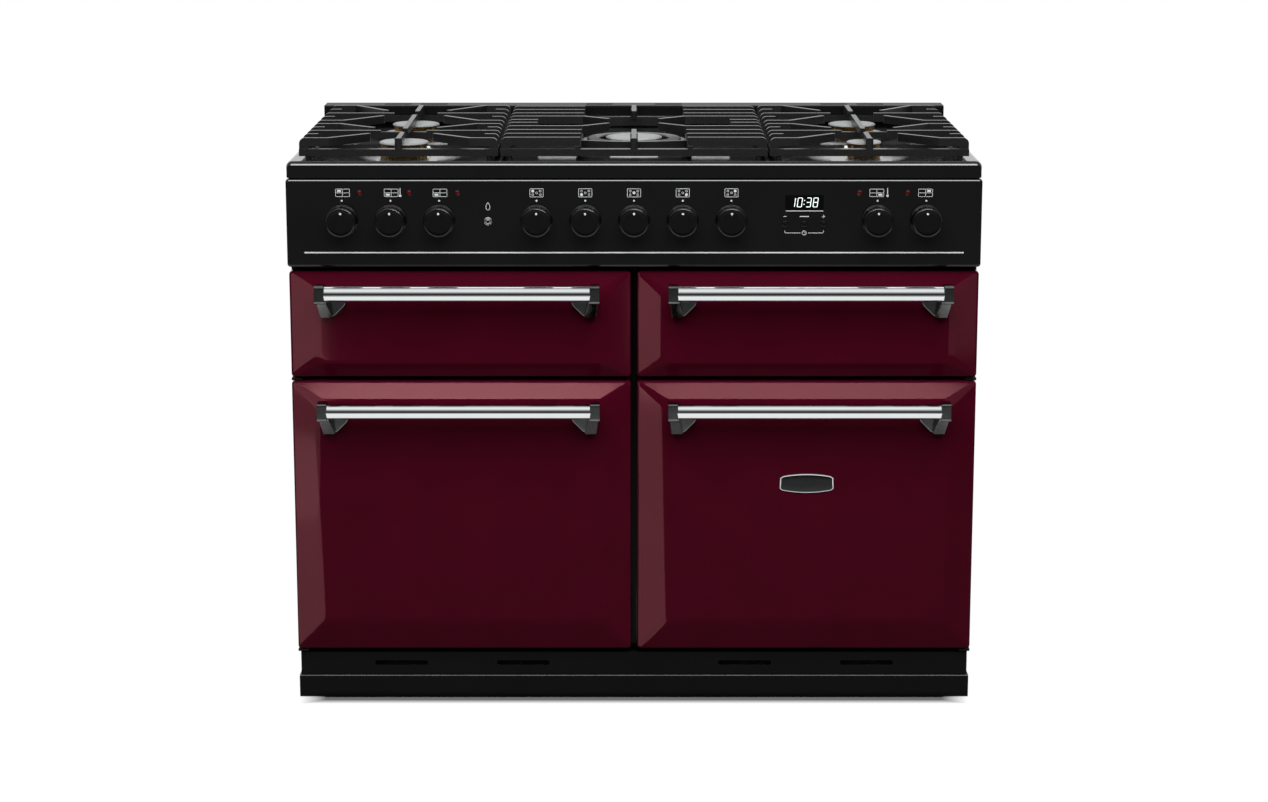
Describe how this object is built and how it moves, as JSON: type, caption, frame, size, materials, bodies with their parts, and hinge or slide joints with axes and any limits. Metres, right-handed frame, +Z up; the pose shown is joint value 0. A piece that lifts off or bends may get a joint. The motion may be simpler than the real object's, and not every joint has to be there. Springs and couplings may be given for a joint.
{
  "type": "range cooker",
  "caption": "Free-standing range cooker with gas hob, grill, two fan ovens, slow oven, hinged enamel doors, bar handles and turning knobs.",
  "frame": {"origin": "centre of the overall box at floor level, under the feet", "axes": "+Z up, +X to the right seen from the front, the doors and knobs face -Y"},
  "size_m": [1.1, 0.6546, 0.921],
  "materials": {
    "burgundy_enamel": "glossy vitreous enamel",
    "black_enamel": "glossy vitreous enamel",
    "black_paint": "satin",
    "grey_enamel": "speckled vitreous enamel",
    "zinc_steel": "galvanised",
    "cast_iron": "satin enamel",
    "chrome": "polished",
    "brass": "machined",
    "aluminium": "cast",
    "cap_enamel": "matt enamel",
    "knob_plastic": "glossy",
    "lens_red": "clear",
    "clock_black": "glossy",
    "seal_rubber": "matt",
    "shelf_steel": "bright wire",
    "element_steel": "heat darkened",
    "motor_steel": "plain"
  },
  "bodies": {
    "casing": {"side_panels": "black_paint", "rear_panel": "zinc_steel", "base_pan": "zinc_steel", "levelling_feet": "zinc_steel", "kick_strip": "black_enamel", "plinth_panel": "black_enamel", "front_frame": "black_enamel", "left_oven_liner": "grey_enamel", "right_oven_liner": "grey_enamel", "grill_liner": "grey_enamel", "slow_oven_liner": "grey_enamel", "door_seals": "seal_rubber", "door_hinges": "zinc_steel", "control_panel": "black_enamel", "control_valves": "brass", "indicator_lenses": "lens_red", "clock_module": "clock_black", "gas_rail": "zinc_steel", "hob_tray": "black_enamel", "flue_trim": "black_enamel", "burner_bases": "aluminium", "burner_heads": "brass", "burner_caps": "cap_enamel", "shelf_runners": "shelf_steel", "oven_shelves": "shelf_steel", "grill_pan": "grey_enamel", "heating_elements": "element_steel", "fan_baffles": "grey_enamel", "fan_motors": "motor_steel"},
    "grill_door": {"grill_door_panel": "burgundy_enamel", "grill_door_liner": "grey_enamel", "grill_door_handle": "chrome"},
    "slow_oven_door": {"slow_oven_door_panel": "burgundy_enamel", "slow_oven_door_liner": "grey_enamel", "slow_oven_door_handle": "chrome"},
    "left_oven_door": {"left_oven_door_panel": "burgundy_enamel", "left_oven_door_liner": "grey_enamel", "left_oven_door_handle": "chrome"},
    "right_oven_door": {"right_oven_door_panel": "burgundy_enamel", "right_oven_door_liner": "grey_enamel", "right_oven_door_handle": "chrome"},
    "clock_minus_button": {"clock_minus_button": "chrome"},
    "clock_mode_button": {"clock_mode_button": "chrome"},
    "clock_plus_button": {"clock_plus_button": "chrome"},
    "grill_knob": {"grill_knob": "knob_plastic"},
    "ignition_button": {"ignition_button": "knob_plastic"},
    "left_front_burner_knob": {"left_front_burner_knob": "knob_plastic"},
    "left_oven_fan": {"left_oven_fan": "motor_steel"},
    "left_oven_heat_knob": {"left_oven_heat_knob": "knob_plastic"},
    "left_oven_mode_knob": {"left_oven_mode_knob": "knob_plastic"},
    "left_pan_support": {"left_pan_support": "cast_iron"},
    "left_rear_burner_knob": {"left_rear_burner_knob": "knob_plastic"},
    "middle_pan_support": {"middle_pan_support": "cast_iron"},
    "right_front_burner_knob": {"right_front_burner_knob": "knob_plastic"},
    "right_oven_fan": {"right_oven_fan": "motor_steel"},
    "right_oven_knob": {"right_oven_knob": "knob_plastic"},
    "right_pan_support": {"right_pan_support": "cast_iron"},
    "right_rear_burner_knob": {"right_rear_burner_knob": "knob_plastic"},
    "slow_oven_knob": {"slow_oven_knob": "knob_plastic"},
    "wok_burner_knob": {"wok_burner_knob": "knob_plastic"}
  },
  "joints": [
    {"name": "grill_door_hinge", "type": "hinge", "parent": "casing", "child": "grill_door", "pos_m": [-0.277, -0.25275, 0.554], "axis": [1, 0, 0], "range_deg": [0, 90]},
    {"name": "slow_oven_door_hinge", "type": "hinge", "parent": "casing", "child": "slow_oven_door", "pos_m": [0.277, -0.25275, 0.554], "axis": [1, 0, 0], "range_deg": [0, 90]},
    {"name": "left_oven_door_hinge", "type": "hinge", "parent": "casing", "child": "left_oven_door", "pos_m": [-0.541, -0.25075, 0.3095], "axis": [0, 0, -1], "range_deg": [0, 110]},
    {"name": "right_oven_door_hinge", "type": "hinge", "parent": "casing", "child": "right_oven_door", "pos_m": [0.541, -0.25075, 0.3095], "axis": [0, 0, 1], "range_deg": [0, 110]},
    {"name": "grill_knob_turn", "type": "hinge", "parent": "casing", "child": "grill_knob", "pos_m": [-0.4614, -0.27275, 0.794], "axis": [0, -1, 0], "range_deg": [-270, 0]},
    {"name": "left_oven_heat_knob_turn", "type": "hinge", "parent": "casing", "child": "left_oven_heat_knob", "pos_m": [-0.3845, -0.27275, 0.794], "axis": [0, -1, 0], "range_deg": [-270, 0]},
    {"name": "left_oven_mode_knob_turn", "type": "hinge", "parent": "casing", "child": "left_oven_mode_knob", "pos_m": [-0.3076, -0.27275, 0.794], "axis": [0, -1, 0], "range_deg": [-240, 0]},
    {"name": "left_rear_burner_knob_turn", "type": "hinge", "parent": "casing", "child": "left_rear_burner_knob", "pos_m": [-0.1538, -0.27275, 0.794], "axis": [0, -1, 0], "range_deg": [0, 210]},
    {"name": "left_front_burner_knob_turn", "type": "hinge", "parent": "casing", "child": "left_front_burner_knob", "pos_m": [-0.0769, -0.27275, 0.794], "axis": [0, -1, 0], "range_deg": [0, 210]},
    {"name": "wok_burner_knob_turn", "type": "hinge", "parent": "casing", "child": "wok_burner_knob", "pos_m": [0, -0.27275, 0.794], "axis": [0, -1, 0], "range_deg": [0, 210]},
    {"name": "right_front_burner_knob_turn", "type": "hinge", "parent": "casing", "child": "right_front_burner_knob", "pos_m": [0.0769, -0.27275, 0.794], "axis": [0, -1, 0], "range_deg": [0, 210]},
    {"name": "right_rear_burner_knob_turn", "type": "hinge", "parent": "casing", "child": "right_rear_burner_knob", "pos_m": [0.1538, -0.27275, 0.794], "axis": [0, -1, 0], "range_deg": [0, 210]},
    {"name": "right_oven_knob_turn", "type": "hinge", "parent": "casing", "child": "right_oven_knob", "pos_m": [0.3845, -0.27275, 0.794], "axis": [0, -1, 0], "range_deg": [-270, 0]},
    {"name": "slow_oven_knob_turn", "type": "hinge", "parent": "casing", "child": "slow_oven_knob", "pos_m": [0.4614, -0.27275, 0.794], "axis": [0, -1, 0], "range_deg": [-270, 0]},
    {"name": "ignition_button_press", "type": "slide", "parent": "casing", "child": "ignition_button", "axis": [0, 1, 0], "range_m": [0, 0.003], "stiffness_N_per_m": 300},
    {"name": "clock_minus_button_press", "type": "slide", "parent": "casing", "child": "clock_minus_button", "axis": [0, 1, 0], "range_m": [0, 0.001], "stiffness_N_per_m": 400},
    {"name": "clock_mode_button_press", "type": "slide", "parent": "casing", "child": "clock_mode_button", "axis": [0, 1, 0], "range_m": [0, 0.001], "stiffness_N_per_m": 400},
    {"name": "clock_plus_button_press", "type": "slide", "parent": "casing", "child": "clock_plus_button", "axis": [0, 1, 0], "range_m": [0, 0.001], "stiffness_N_per_m": 400},
    {"name": "left_pan_support_lift", "type": "slide", "parent": "casing", "child": "left_pan_support", "axis": [0, 0, 1], "range_m": [0, 0.06]},
    {"name": "middle_pan_support_lift", "type": "slide", "parent": "casing", "child": "middle_pan_support", "axis": [0, 0, 1], "range_m": [0, 0.06]},
    {"name": "right_pan_support_lift", "type": "slide", "parent": "casing", "child": "right_pan_support", "axis": [0, 0, 1], "range_m": [0, 0.06]},
    {"name": "left_oven_fan_spin", "type": "hinge", "parent": "casing", "child": "left_oven_fan", "pos_m": [-0.277, 0.20625, 0.3085], "axis": [0, 1, 0], "continuous": true},
    {"name": "right_oven_fan_spin", "type": "hinge", "parent": "casing", "child": "right_oven_fan", "pos_m": [0.277, 0.20625, 0.3085], "axis": [0, 1, 0], "continuous": true}
  ]
}
